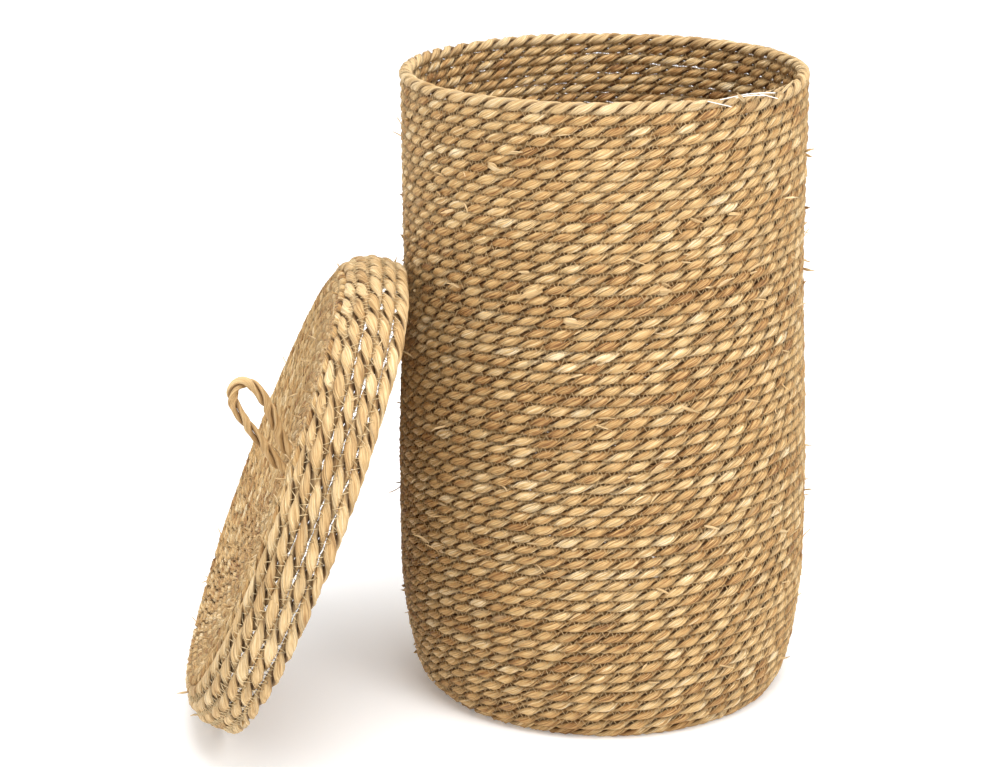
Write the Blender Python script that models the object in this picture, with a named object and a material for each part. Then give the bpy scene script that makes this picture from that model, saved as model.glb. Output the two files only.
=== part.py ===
"""Coiled seagrass laundry basket with its loose lid leaning against the wall.

Blender 4.5, metres, +Z up. The origin is the centre of the basket's underside.

The basket is one long rope of twisted leaf, laid round and round and stitched
row to row. It is bought in lengths that are spliced end to end, so each length
is a piece here: two in the base, ten in the wall, and a thicker one at the rim
with its tapered end. The lid is a flat coil with a skirt of thick rope, and a
loop handle of two twisted strands that are knotted inside the lid.
"""

import math

import bmesh
import bpy
from mathutils import Matrix, Vector

# Clearances between pieces that touch on the real basket.
ROW_GAP = 0.0003
LEAN_GAP = 0.0006
HANDLE_GAP = 0.0005

# Basket body. Radii are to the outside of the rope.
WALL_HEIGHT = 0.555
ROPE_THICKNESS = 0.0094
FOOT_RADIUS = 0.1655
BELLY_RADIUS = 0.182
BELLY_FROM = 0.120
BELLY_TO = 0.190
SHOULDER_HEIGHT = 0.400
RIM_RADIUS = 0.175
WALL_LENGTHS = 10
EDGE_ROUND = 0.0022
HEEL_ROUND = 0.0065

# The thicker rope that finishes the rim, and its tapered end.
RIM_ROPE_HEIGHT = 0.0105
RIM_ROPE_THICKNESS = 0.0104
RIM_END_HEIGHT = 0.0042
RIM_END_WIDTH = 0.0072
RIM_END_TIP = 0.4
RIM_END_FROM = math.radians(-62)
RIM_END_SWEEP = math.radians(34)

# Base coil.
BASE_THICKNESS = 0.0092
BASE_SPLICE_SHARE = 0.55

# Lid, in its own frame: its rounded shoulder peaks at z = 0 and its open edge hangs below.
LID_RADIUS = 0.2138
LID_DEPTH = 0.0548
LID_SHOULDER = 0.033
LID_DISH = 0.016
LID_TOP_THICKNESS = 0.0084
LID_SPLICE_RADIUS = 0.094
SKIRT_ROWS = 5
SKIRT_PITCH = 0.0107
SKIRT_ROPE_WIDTH = 0.0099
SKIRT_ROPE_THICKNESS = 0.0104

# How the lid leans: tipped back from level, turned about +Z, and shifted sideways.
LID_TILT = math.radians(67.5)
LID_TURN = math.radians(4.2)
LID_SIDE_OFFSET = -0.0737

# Loop handle near the lid's centre, and the knot that holds it from inside.
HANDLE_OFF_CENTRE = 0.019
STRAND_RADIUS = 0.0027
STRAND_GAP = 0.0008
LOOP_LENGTH = 0.080
LOOP_BASE_SPACING = 0.0145
LOOP_BULGE = 0.0194
LOOP_LEAN = math.radians(41)
LOOP_TWISTS = 5.5
TAIL_RADIUS = 0.0034
TAIL_CLEARANCE = 0.0004
KNOT_RADIUS = 0.015
KNOT_HEIGHT = 0.012

# Mesh resolution.
RING_STEPS = 32
LOOP_POINTS = 51
TAIL_SIDES = 10

# Colours are linear RGB.
STRAW = (0.58, 0.37, 0.17)
PALE_STRAW = (0.66, 0.45, 0.22)
SHADED_STRAW = (0.50, 0.33, 0.16)


def clear_scene():
    """Removes every object of the scene that Blender opens with."""
    for thing in list(bpy.data.objects):
        bpy.data.objects.remove(thing)


def leaf_material(name, colour, roughness):
    """A dry leaf finish: matt, and one even colour."""
    material = bpy.data.materials.new(name)
    material.use_nodes = True
    shader = material.node_tree.nodes["Principled BSDF"]
    shader.inputs["Base Color"].default_value = (*colour, 1.0)
    shader.inputs["Roughness"].default_value = roughness
    shader.inputs["Metallic"].default_value = 0.0
    return material


def add_piece(name, shape, material, parent=None):
    """Turns a bmesh into a smooth-shaded object, in its parent's frame."""
    bmesh.ops.recalc_face_normals(shape, faces=shape.faces)
    mesh = bpy.data.meshes.new(name)
    shape.to_mesh(mesh)
    shape.free()
    mesh.shade_smooth()
    mesh.set_sharp_from_angle(angle=math.radians(40))
    mesh.materials.append(material)
    piece = bpy.data.objects.new(name, mesh)
    piece.parent = parent
    bpy.context.scene.collection.objects.link(piece)
    return piece


def smooth_step(share):
    """Eases from 0 to 1, level at both ends."""
    share = min(1.0, max(0.0, share))
    return share * share * (3.0 - 2.0 * share)


def wall_radius(height):
    """The wall's outer radius: it swells out of the foot and draws in to the rim."""
    if height < BELLY_FROM:
        share = math.sin(0.5 * math.pi * max(0.0, height) / BELLY_FROM)
        return FOOT_RADIUS + (BELLY_RADIUS - FOOT_RADIUS) * share
    share = smooth_step((height - BELLY_TO) / (SHOULDER_HEIGHT - BELLY_TO))
    return BELLY_RADIUS + (RIM_RADIUS - BELLY_RADIUS) * share


def turned(outline):
    """A solid of revolution about Z from a closed outline of (radius, height)."""
    shape = bmesh.new()
    points = [shape.verts.new((radius, 0.0, height)) for radius, height in outline]
    edges = [shape.edges.new((points[i - 1], points[i])) for i in range(len(points))]
    bmesh.ops.spin(
        shape,
        geom=points + edges,
        cent=(0.0, 0.0, 0.0),
        axis=(0.0, 0.0, 1.0),
        angle=2.0 * math.pi,
        steps=RING_STEPS,
        use_merge=True,
    )
    bmesh.ops.remove_doubles(shape, verts=shape.verts, dist=1e-6)
    bmesh.ops.dissolve_degenerate(shape, edges=shape.edges, dist=1e-6)
    return shape


def rounded_outline(inner, outer, low, high, round_off):
    """A straight ring's outline, its four corners cut at 45 degrees."""
    return [
        (outer - round_off, low),
        (outer, low + round_off),
        (outer, high - round_off),
        (outer - round_off, high),
        (inner + round_off, high),
        (inner, high - round_off),
        (inner, low + round_off),
        (inner + round_off, low),
    ]


def wall_outline(low, high):
    """The outline of one length of wall rope. The lowest one has the basket's rounded heel."""
    heel = EDGE_ROUND if low > 0.0 else HEEL_ROUND
    heights = (low + heel, 0.5 * (low + high), high - EDGE_ROUND)
    outer = [(wall_radius(height), height) for height in heights]
    top, middle, bottom = (wall_radius(height) for height in (high, heights[1], low))
    return [
        (bottom - heel, low),
        *outer,
        (top - EDGE_ROUND, high),
        (top - ROPE_THICKNESS, high),
        (middle - ROPE_THICKNESS, heights[1]),
        (bottom - ROPE_THICKNESS, low),
    ]


def disc_outline(radius, low, high):
    """Half a flat disc's section, from the axis out."""
    return [(0.0, low), (radius, low), (radius, high), (0.0, high)]


def ring_outline(inner, outer, low, high):
    """A flat ring's square section."""
    return [(inner, low), (outer, low), (outer, high), (inner, high)]


def build_base(material):
    """Two rope lengths coiled flat: a disc, and the ring round it."""
    outer = wall_radius(0.0) - ROPE_THICKNESS - ROW_GAP
    splice = outer * BASE_SPLICE_SHARE
    add_piece("base_rope_inner", turned(disc_outline(splice, 0.0, BASE_THICKNESS)), material)
    ring = ring_outline(splice + ROW_GAP, outer, 0.0, BASE_THICKNESS)
    add_piece("base_rope_outer", turned(ring), material)


def build_wall(material):
    """The wall's rope lengths, stacked with a hair's gap between them."""
    length_height = (WALL_HEIGHT - RIM_ROPE_HEIGHT) / WALL_LENGTHS
    for index in range(WALL_LENGTHS):
        low = index * length_height
        outline = wall_outline(low, low + length_height - ROW_GAP)
        add_piece(f"wall_rope_{index + 1:02d}", turned(outline), material)


def tapered_arc(radius, base, start, sweep):
    """The rope's end lying on the rim: a bar that follows the rim and thins to a tip."""
    steps = 8
    shape = bmesh.new()
    loops = []
    for step in range(steps + 1):
        share = step / steps
        size = 1.0 - (1.0 - RIM_END_TIP) * share
        half, high = 0.5 * RIM_END_WIDTH * size, base + RIM_END_HEIGHT * size
        turn = Matrix.Rotation(start + sweep * share, 4, "Z")
        corners = ((-half, base), (half, base), (half, high), (-half, high))
        loops.append([shape.verts.new(turn @ Vector((radius + x, 0.0, z))) for x, z in corners])
    shape.faces.new(loops[0])
    shape.faces.new(loops[-1])
    for first, second in zip(loops, loops[1:]):
        for side in range(4):
            shape.faces.new((first[side - 1], first[side], second[side], second[side - 1]))
    return shape


def build_rim(material):
    """The thick rim rope, its top just under its own tapered end."""
    low, high = WALL_HEIGHT - RIM_ROPE_HEIGHT, WALL_HEIGHT - RIM_END_HEIGHT - ROW_GAP
    inner = RIM_RADIUS - RIM_ROPE_THICKNESS
    outline = rounded_outline(inner, RIM_RADIUS, low, high, EDGE_ROUND)
    add_piece("rim_rope", turned(outline), material)
    middle = RIM_RADIUS - 0.5 * RIM_ROPE_THICKNESS
    end = tapered_arc(middle, WALL_HEIGHT - RIM_END_HEIGHT, RIM_END_FROM, RIM_END_SWEEP)
    add_piece("rim_rope_end", end, material)


def rope_path(distance):
    """(radius, height, slope) of the skirt's rope centre, counted up from the open edge."""
    bend = LID_SHOULDER - 0.5 * SKIRT_ROPE_THICKNESS
    straight = LID_DEPTH - LID_SHOULDER
    if distance < straight:
        return LID_SHOULDER + bend, distance - LID_DEPTH, 0.0
    slope = (distance - straight) / bend
    return LID_SHOULDER + bend * math.cos(slope), bend * math.sin(slope) - LID_SHOULDER, slope


def skirt_outline(row):
    """An eight-sided rope section, turned to follow the shoulder. Row 0 is at the open edge."""
    reach, height, slope = rope_path(0.5 * SKIRT_ROPE_WIDTH + row * SKIRT_PITCH)
    radius = LID_RADIUS - 2.0 * LID_SHOULDER + reach
    wide, thick = 0.5 * SKIRT_ROPE_WIDTH, 0.5 * SKIRT_ROPE_THICKNESS
    cut = 0.58
    corners = (
        (thick * (1.0 - cut), -wide),
        (thick, -wide * (1.0 - cut)),
        (thick, wide * (1.0 - cut)),
        (thick * (1.0 - cut), wide),
        (-thick * (1.0 - cut), wide),
        (-thick, wide * (1.0 - cut)),
        (-thick, -wide * (1.0 - cut)),
        (-thick * (1.0 - cut), -wide),
    )
    across, along = math.cos(slope), math.sin(slope)
    return [(radius + x * across - y * along, height + x * along + y * across) for x, y in corners]


def lean_transform():
    """The lid's place: its lowest edge on the floor, its upper edge just off the wall."""
    turn = Matrix.Rotation(LID_TURN, 4, "Z") @ Matrix.Rotation(-LID_TILT, 4, "Y")
    edge = [
        turn @ Vector((radius * math.cos(angle), radius * math.sin(angle), height))
        for row in range(SKIRT_ROWS)
        for radius, height in skirt_outline(row)
        for angle in (math.radians(degree) for degree in range(360))
    ]
    lift = -min(point.z for point in edge)
    away = Vector((-math.cos(LID_TURN), -math.sin(LID_TURN)))
    aside = Vector((-math.sin(LID_TURN), math.cos(LID_TURN))) * LID_SIDE_OFFSET
    distance = 0.0
    for point in edge:
        start = point.xy + aside
        along = start.dot(away)
        reach = wall_radius(point.z + lift) + LEAN_GAP
        room = along * along - start.length_squared + reach * reach
        if room > 0.0:
            distance = max(distance, math.sqrt(room) - along)
    place = away * distance + aside
    return Matrix.Translation((place.x, place.y, lift)) @ turn


def dish_height(radius):
    """The lid's top face: sunk in the middle, level where the shoulder begins."""
    flat = LID_RADIUS - LID_SHOULDER
    return LID_DISH * (min(1.0, radius / flat) ** 2 - 1.0)


def tail_holes():
    """Where the handle's two tails pass through the lid, in the lid's frame."""
    half = 0.5 * LOOP_BASE_SPACING
    face = dish_height(HANDLE_OFF_CENTRE)
    return [Vector((HANDLE_OFF_CENTRE + side * half, 0.0, face)) for side in (-1.0, 1.0)]


def upright_cylinder(name, radius, low, high, centre, parent):
    """A helper cylinder along the lid's Z, low and high counted from its centre point."""
    shape = bmesh.new()
    bmesh.ops.create_cone(
        shape,
        cap_ends=True,
        segments=TAIL_SIDES,
        radius1=radius,
        radius2=radius,
        depth=high - low,
        matrix=Matrix.Translation(centre + Vector((0.0, 0.0, 0.5 * (low + high)))),
    )
    helper = add_piece(name, shape, bpy.data.materials["leaf_coil"], parent)
    helper.hide_render = True
    helper.display_type = "WIRE"
    return helper


def combine(piece, helper, operation):
    """Adds a Boolean modifier that joins the helper to the piece or cuts it out."""
    modifier = piece.modifiers.new(helper.name, "BOOLEAN")
    modifier.operation = operation
    modifier.object = helper


def slab_outline(face):
    """A coil of even thickness below a run of (radius, height) face points, inner to outer."""
    under = [(radius, height - LID_TOP_THICKNESS) for radius, height in reversed(face)]
    return face + under


def build_lid_top(material, parent):
    """The lid's coil in two rope lengths. The handle's tails pass through the inner one."""
    radii = [LID_SPLICE_RADIUS * share for share in (0.0, 0.5, 1.0)]
    inner_face = [(radius, dish_height(radius)) for radius in radii]
    inner = add_piece("lid_top_rope_inner", turned(slab_outline(inner_face)), material, parent)
    for index, centre in enumerate(tail_holes()):
        cutter = upright_cylinder(
            f"tail_hole_{index + 1}",
            TAIL_RADIUS + TAIL_CLEARANCE,
            -2.0 * LID_TOP_THICKNESS,
            LID_TOP_THICKNESS,
            centre,
            parent,
        )
        combine(inner, cutter, "DIFFERENCE")
    flat = LID_RADIUS - LID_SHOULDER
    start = LID_SPLICE_RADIUS + ROW_GAP
    face = [(radius, dish_height(radius)) for radius in (start, 0.5 * (start + flat), flat)]
    last = 0.5 * SKIRT_ROPE_WIDTH + (SKIRT_ROWS - 0.5) * SKIRT_PITCH
    end = 0.5 * math.pi - rope_path(last)[2]
    for share in (0.5, 1.0):
        turn = end * share
        face.append((flat + LID_SHOULDER * math.sin(turn), LID_SHOULDER * (math.cos(turn) - 1.0)))
    inner_bend = LID_SHOULDER - LID_TOP_THICKNESS
    under = [
        (flat + inner_bend * math.sin(end * share), inner_bend * math.cos(end * share) - LID_SHOULDER)
        for share in (1.0, 0.5)
    ]
    under += [(radius, height - LID_TOP_THICKNESS) for radius, height in reversed(face[:3])]
    add_piece("lid_top_rope_outer", turned(face + under), material, parent)


def build_skirt(material, parent):
    """The skirt's rows of thick rope, from the open edge up over the shoulder."""
    for row in range(SKIRT_ROWS):
        add_piece(f"lid_skirt_rope_{row + 1}", turned(skirt_outline(row)), material, parent)


def build_knot(material, parent):
    """The knot under the lid, with the handle's two tails rising through the coil."""
    low = -LID_TOP_THICKNESS - 2.0 * ROW_GAP - 0.5 * KNOT_HEIGHT
    middle = 0.5 * (tail_holes()[0] + tail_holes()[1]) + Vector((0.0, 0.0, low))
    shape = bmesh.new()
    scale = Matrix.Diagonal((KNOT_RADIUS, KNOT_RADIUS, 0.5 * KNOT_HEIGHT, 1.0))
    place = Matrix.Translation(middle) @ scale
    bmesh.ops.create_uvsphere(shape, u_segments=16, v_segments=8, radius=1.0, matrix=place)
    knot = add_piece("handle_knot", shape, material, parent)
    for index, centre in enumerate(tail_holes()):
        tail = upright_cylinder(f"tail_{index + 1}", TAIL_RADIUS, low, -ROW_GAP, centre, parent)
        combine(knot, tail, "UNION")


def loop_centre(share):
    """A point of the handle's centreline, share 0 to 1, in the handle's frame (x up the lid, z out)."""
    angle = math.pi * share
    side = math.cos(angle) * (0.5 * LOOP_BASE_SPACING + LOOP_BULGE * math.sin(angle) ** 2)
    lean = LOOP_LEAN * (1.0 - (1.0 - math.sin(angle)) ** 2)
    across = Vector((math.cos(lean), 0.0, -math.sin(lean)))
    along = Vector((math.sin(LOOP_LEAN), 0.0, math.cos(LOOP_LEAN)))
    return side * across + LOOP_LENGTH * math.sin(angle) * along


def even_shares(count):
    """Shares of the loop that are evenly spaced along its length."""
    fine = 400
    travelled = [0.0]
    for index in range(fine):
        step = loop_centre((index + 1) / fine) - loop_centre(index / fine)
        travelled.append(travelled[-1] + step.length)
    shares = []
    index = 0
    for number in range(count):
        wanted = travelled[-1] * number / (count - 1)
        while index < fine - 1 and travelled[index + 1] < wanted:
            index += 1
        part = (wanted - travelled[index]) / (travelled[index + 1] - travelled[index])
        shares.append((index + part) / fine)
    return shares


def strand_points(phase):
    """One strand's centreline, wound evenly round the loop's own centreline."""
    offset = STRAND_RADIUS + 0.5 * STRAND_GAP
    flat = Vector((0.0, 1.0, 0.0))
    points = []
    for index, share in enumerate(even_shares(LOOP_POINTS)):
        tangent = loop_centre(share + 0.002) - loop_centre(share - 0.002)
        outward = flat.cross(tangent.normalized())
        turn = 2.0 * math.pi * LOOP_TWISTS * index / (LOOP_POINTS - 1) + phase
        around = math.cos(turn) * outward + math.sin(turn) * flat
        points.append(loop_centre(share) + offset * around)
    return points


def build_strand(name, phase, material, parent):
    """One of the handle's two twisted strands, as a round tube."""
    curve = bpy.data.curves.new(name, "CURVE")
    curve.dimensions = "3D"
    curve.bevel_depth = STRAND_RADIUS
    curve.bevel_resolution = 1
    curve.use_fill_caps = True
    points = strand_points(phase)
    spline = curve.splines.new("POLY")
    spline.points.add(len(points) - 1)
    for target, point in zip(spline.points, points):
        target.co = (*point, 1.0)
    curve.materials.append(material)
    strand = bpy.data.objects.new(name, curve)
    strand.parent = parent
    bpy.context.scene.collection.objects.link(strand)


def add_empty(name, matrix, parent=None):
    """A frame for pieces that move together."""
    empty = bpy.data.objects.new(name, None)
    empty.parent = parent
    empty.matrix_local = matrix
    bpy.context.scene.collection.objects.link(empty)
    return empty


def build_handle(material, lid):
    """The loop handle, its hinge line just above the lid's face."""
    reach = 2.0 * STRAND_RADIUS + 0.5 * STRAND_GAP
    foot = 0.5 * (tail_holes()[0] + tail_holes()[1]) + Vector((0.0, 0.0, reach + HANDLE_GAP))
    hinge = add_empty("handle_hinge", Matrix.Translation(foot), lid)
    build_strand("handle_strand_a", 0.0, material, hinge)
    build_strand("handle_strand_b", math.pi, material, hinge)


def main():
    clear_scene()
    coil = leaf_material("leaf_coil", STRAW, 0.72)
    thick = leaf_material("leaf_thick_rope", PALE_STRAW, 0.66)
    hidden = leaf_material("leaf_base", SHADED_STRAW, 0.78)
    build_base(hidden)
    build_wall(coil)
    build_rim(thick)
    lid = add_empty("lid_frame", lean_transform())
    build_lid_top(coil, lid)
    build_skirt(thick, lid)
    build_knot(hidden, lid)
    build_handle(thick, lid)


main()
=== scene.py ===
"""The coiled seagrass laundry basket and its leaning lid, rope by rope.

Every rope is a real two-ply twist laid along the coil's own spiral, stitched row
to row with a zigzag thread. Lengths are in metres and angles in radians unless a
name says otherwise.
"""

import logging
import math
from dataclasses import dataclass, field
from enum import Enum
from typing import Callable, ClassVar, Iterable, Sequence, Union

import bmesh
import bpy
import numpy as np
from mathutils import Matrix, Vector


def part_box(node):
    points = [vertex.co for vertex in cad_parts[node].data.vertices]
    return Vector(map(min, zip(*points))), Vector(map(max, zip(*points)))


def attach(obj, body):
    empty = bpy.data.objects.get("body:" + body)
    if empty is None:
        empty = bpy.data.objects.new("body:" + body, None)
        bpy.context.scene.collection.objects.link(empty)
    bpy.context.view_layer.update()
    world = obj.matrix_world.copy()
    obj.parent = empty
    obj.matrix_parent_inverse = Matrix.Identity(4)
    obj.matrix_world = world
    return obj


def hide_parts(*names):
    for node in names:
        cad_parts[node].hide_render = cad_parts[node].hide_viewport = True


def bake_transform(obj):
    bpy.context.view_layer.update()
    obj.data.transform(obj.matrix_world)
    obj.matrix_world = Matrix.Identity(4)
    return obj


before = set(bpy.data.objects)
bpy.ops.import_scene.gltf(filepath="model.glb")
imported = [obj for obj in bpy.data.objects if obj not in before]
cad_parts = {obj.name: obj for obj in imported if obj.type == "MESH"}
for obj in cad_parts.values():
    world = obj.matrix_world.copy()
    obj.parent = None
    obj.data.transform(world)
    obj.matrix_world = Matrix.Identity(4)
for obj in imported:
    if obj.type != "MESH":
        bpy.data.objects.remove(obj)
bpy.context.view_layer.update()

logging.basicConfig(level=logging.INFO, format="%(message)s")
LOG = logging.getLogger("basket")

Array = np.ndarray
PathPoint = tuple[Array, Array, Array]


# --------------------------------------------------------------------------
# Small maths helpers
# --------------------------------------------------------------------------


def smooth_step(share: Array) -> Array:
    """Eases 0 to 1, level at both ends.

    Args:
        share: values of any size.

    Returns:
        The eased values, held between 0 and 1.
    """
    share = np.clip(share, 0.0, 1.0)
    return share * share * (3.0 - 2.0 * share)


def unit(vectors: Array) -> Array:
    """Scales rows of vectors to length one."""
    return vectors / np.maximum(np.linalg.norm(vectors, axis=-1, keepdims=True), 1e-12)


def drift(at: Array, spacing: float, seed: int) -> Array:
    """Smooth random values along a length.

    Args:
        at: positions along the length.
        spacing: distance between independent values.
        seed: which random sequence to use.

    Returns:
        Values between -1 and 1.
    """
    cell = at / spacing
    low = np.floor(cell).astype(np.int64)
    share = smooth_step(cell - low)
    return scatter(low, seed) * (1.0 - share) + scatter(low + 1, seed) * share


def scatter(index: Array, seed: int) -> Array:
    """A repeatable random value for each whole number.

    Args:
        index: whole numbers.
        seed: random sequence.

    Returns:
        Values in -1..1.
    """
    mixed = (index.astype(np.uint64) + np.uint64(seed * 7919 + 104729)) * np.uint64(2654435761)
    mixed ^= mixed >> np.uint64(13)
    mixed *= np.uint64(1103515245)
    mixed ^= mixed >> np.uint64(17)
    return (mixed % np.uint64(1 << 24)).astype(np.float64) / float(1 << 23) - 1.0


# --------------------------------------------------------------------------
# Shader building
# --------------------------------------------------------------------------


class Socket:
    """A shader socket that can be used in arithmetic."""

    def __init__(self, build: "Shader", output: bpy.types.NodeSocket) -> None:
        """Keeps the socket and the shader it belongs to."""
        self.build = build
        self.output = output

    def _math(self, kind: str, *values: "Value") -> "Socket":
        """Makes a sum node over values."""
        return self.build.node("ShaderNodeMath", {"operation": kind}, dict(enumerate(values)))

    def __add__(self, other: "Value") -> "Socket":
        """Socket plus value."""
        return self._math("ADD", self, other)

    def __radd__(self, other: "Value") -> "Socket":
        """Value plus socket."""
        return self._math("ADD", other, self)

    def __sub__(self, other: "Value") -> "Socket":
        """Socket minus value."""
        return self._math("SUBTRACT", self, other)

    def __rsub__(self, other: "Value") -> "Socket":
        """Value minus socket."""
        return self._math("SUBTRACT", other, self)

    def __mul__(self, other: "Value") -> "Socket":
        """Socket times value."""
        return self._math("MULTIPLY", self, other)

    def __rmul__(self, other: "Value") -> "Socket":
        """Value times socket."""
        return self._math("MULTIPLY", other, self)

    def span(self, low: float, high: float, to_low: float = 0.0, to_high: float = 1.0) -> "Socket":
        """Maps a range to another, held at both ends."""
        inputs = {0: self, 1: low, 2: high, 3: to_low, 4: to_high}
        return self.build.node("ShaderNodeMapRange", {"clamp": True}, inputs)


Value = Union[Socket, float, tuple]


class Shader:
    """Builds one material's nodes."""

    def __init__(self, name: str) -> None:
        """Starts a material.

        Args:
            name: the material's name.
        """
        self.material = bpy.data.materials.new(name)
        self.material.use_nodes = True
        self.tree = self.material.node_tree
        self.principled = self.tree.nodes["Principled BSDF"]

    def node(self, kind: str, settings: dict, inputs: dict, out: Union[int, str] = 0) -> Socket:
        """Makes one node.

        Args:
            kind: the node's type.
            settings: its properties by name.
            inputs: its inputs, by name or number, each a value or a socket.
            out: which output to return.

        Returns:
            The chosen output.
        """
        made = self.tree.nodes.new(kind)
        for name, value in settings.items():
            setattr(made, name, value)
        for key, value in inputs.items():
            self.feed(made.inputs[key], value)
        return Socket(self, made.outputs[out])

    def feed(self, target: bpy.types.NodeSocket, value: Value) -> None:
        """Sets an input to a value, or links a socket to it.

        Args:
            target: the input.
            value: what it gets.
        """
        if isinstance(value, Socket):
            self.tree.links.new(value.output, target)
        else:
            target.default_value = value

    def attribute(self, name: str, out: str = "Fac") -> Socket:
        """Reads a value stored on the mesh."""
        return self.node("ShaderNodeAttribute", {"attribute_name": name}, {}, out)

    def noise(self, vector: Socket, scale: float, detail: float = 2.0, rough: float = 0.5) -> Socket:
        """Noise over a vector."""
        inputs = {"Vector": vector, "Scale": scale, "Detail": detail, "Roughness": rough}
        return self.node("ShaderNodeTexNoise", {}, inputs)

    def stretch(self, vector: Socket, scale: tuple) -> Socket:
        """Scales a vector's axes."""
        return self.node("ShaderNodeVectorMath", {"operation": "MULTIPLY"}, {0: vector, 1: scale})

    def ramp(self, share: Socket, stops: Sequence[tuple[float, tuple]]) -> Socket:
        """Makes a colour ramp.

        Args:
            share: where on the ramp.
            stops: (position, linear RGB) pairs, in order.

        Returns:
            The ramp's colour.
        """
        colour = self.node("ShaderNodeValToRGB", {}, {0: share})
        elements = colour.output.node.color_ramp.elements
        for index, (position, rgb) in enumerate(stops):
            element = elements[index] if index < 2 else elements.new(position)
            element.position = position
            element.color = (*rgb, 1.0)
        return colour

    def mix(self, share: Value, first: Value, second: Value) -> Socket:
        """Mixes two colours."""
        settings = {"data_type": "RGBA", "blend_type": "MIX"}
        return self.node("ShaderNodeMix", settings, {0: share, 6: first, 7: second}, 2)

    def bump(self, height: Socket, strength: float, distance: float, onto: "Socket | None" = None) -> Socket:
        """Makes a bump.

        Args:
            height: the relief.
            strength: share of it that shows.
            distance: its full height.
            onto: a bump that it lies on.

        Returns:
            The bumped normal.
        """
        inputs: dict = {"Height": height, "Strength": strength, "Distance": distance}
        if onto is not None:
            inputs["Normal"] = onto
        return self.node("ShaderNodeBump", {}, inputs)


def rgba(rgb: tuple, share: float = 1.0) -> tuple:
    """A colour as opaque RGBA, darkened to a share of itself."""
    return (*(share * channel for channel in rgb), 1.0)


@dataclass(frozen=True)
class LeafFinish:
    """Dry twisted leaf: streaked along its fibres, each fold a slightly different tone.

    Attributes:
        name: the material's name.
        stops: tones from darkest leaf to palest, as (share, linear RGB).
        groove: linear RGB of the painted shade that the folds darken towards, in the grooves between plies
            and in crease valleys.
        spot: linear RGB of small stains.
        unripe: linear RGB of the duller, greener stretches.
        roughness: lowest and highest roughness.
        relief: fibre bump strength.
    """

    name: str
    stops: tuple = (
        (0.00, (0.170, 0.070, 0.020)),
        (0.20, (0.400, 0.200, 0.064)),
        (0.46, (0.600, 0.364, 0.142)),
        (0.72, (0.750, 0.520, 0.245)),
        (1.00, (0.930, 0.760, 0.500)),
    )
    # Painted shade colour: what the grooves between plies and the crease valleys are darkened towards.
    groove: tuple = (0.105, 0.046, 0.015)
    spot: tuple = (0.20, 0.105, 0.045)
    unripe: tuple = (0.40, 0.335, 0.215)
    roughness: tuple = (0.52, 0.80)
    relief: float = 0.75

    def build(self) -> bpy.types.Material:
        """Makes the material.

        Returns:
            The material.
        """
        s = Shader(self.name)
        fibre = s.attribute("fibre", "Vector")
        leaf = s.attribute("leaf")
        shade = s.attribute("shade")
        painted_groove_shade = s.attribute("painted_groove_shade")
        fine = s.noise(s.stretch(fibre, (40.0, 1150.0, 1.0)), 1.0, 3.0, 0.62)
        broad = s.noise(s.stretch(fibre, (30.0, 430.0, 1.0)), 1.0, 2.0, 0.55)
        blotch = s.noise(s.stretch(fibre, (90.0, 210.0, 1.0)), 1.0, 2.0, 0.5)
        tone = leaf * 0.34 + shade * 0.36 + 0.15
        tone = tone + (broad - 0.5) * 1.30 + (fine - 0.5) * 1.35 + (blotch - 0.5) * 0.50
        colour = s.ramp(tone, self.stops)
        speck = s.noise(s.stretch(fibre, (260.0, 900.0, 1.0)), 1.0, 1.0, 0.5).span(0.70, 0.80)
        colour = s.mix(speck * 0.45, colour, rgba(self.spot))
        green = s.noise(s.stretch(fibre, (14.0, 120.0, 1.0)), 1.0, 1.0).span(0.60, 0.74)
        colour = s.mix(green * 0.34, colour, rgba(self.unripe))
        # Painted shade: folds darken towards the groove colour as they sink into the groove between the
        # plies.
        colour = s.mix(painted_groove_shade.span(0.30, 1.0) * 0.86, colour, rgba(self.groove))
        crease = s.noise(s.stretch(fibre, (22.0, 640.0, 1.0)), 1.0, 2.0, 0.6)
        ridge = crease.span(0.40, 0.60)
        # Painted shade: the valleys of the crease bump are darkened towards the groove colour as well.
        colour = s.mix(crease.span(0.44, 0.33) * 0.55, colour, rgba(self.groove))
        s.feed(s.principled.inputs["Base Color"], colour)
        s.feed(s.principled.inputs["Roughness"], fine.span(0.3, 0.7, *self.roughness))
        low = s.bump(ridge, self.relief, 0.0009)
        s.feed(s.principled.inputs["Normal"], s.bump(fine, self.relief * 0.9, 0.0004, low))
        s.principled.inputs["Specular IOR Level"].default_value = 0.34
        return s.material


@dataclass(frozen=True)
class ThreadFinish:
    """Spun stitching thread: pale, its tone varying a little along it."""

    name: str = "stitch_thread"
    rgb: tuple = (0.62, 0.42, 0.20)
    roughness: float = 0.6

    def build(self) -> bpy.types.Material:
        """Makes the material.

        Returns:
            The material.
        """
        s = Shader(self.name)
        fibre = s.attribute("fibre", "Vector")
        leaf = s.attribute("leaf")
        tone = s.noise(s.stretch(fibre, (400.0, 400.0, 1.0)), 1.0, 1.0)
        share = leaf * 0.5 + tone * 0.5
        colour = s.mix(share.span(0.2, 0.8), rgba(self.rgb, 0.62), rgba(self.rgb))
        s.feed(s.principled.inputs["Base Color"], colour)
        s.feed(s.principled.inputs["Normal"], s.bump(tone, 0.3, 0.0002))
        s.principled.inputs["Roughness"].default_value = self.roughness
        return s.material


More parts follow.
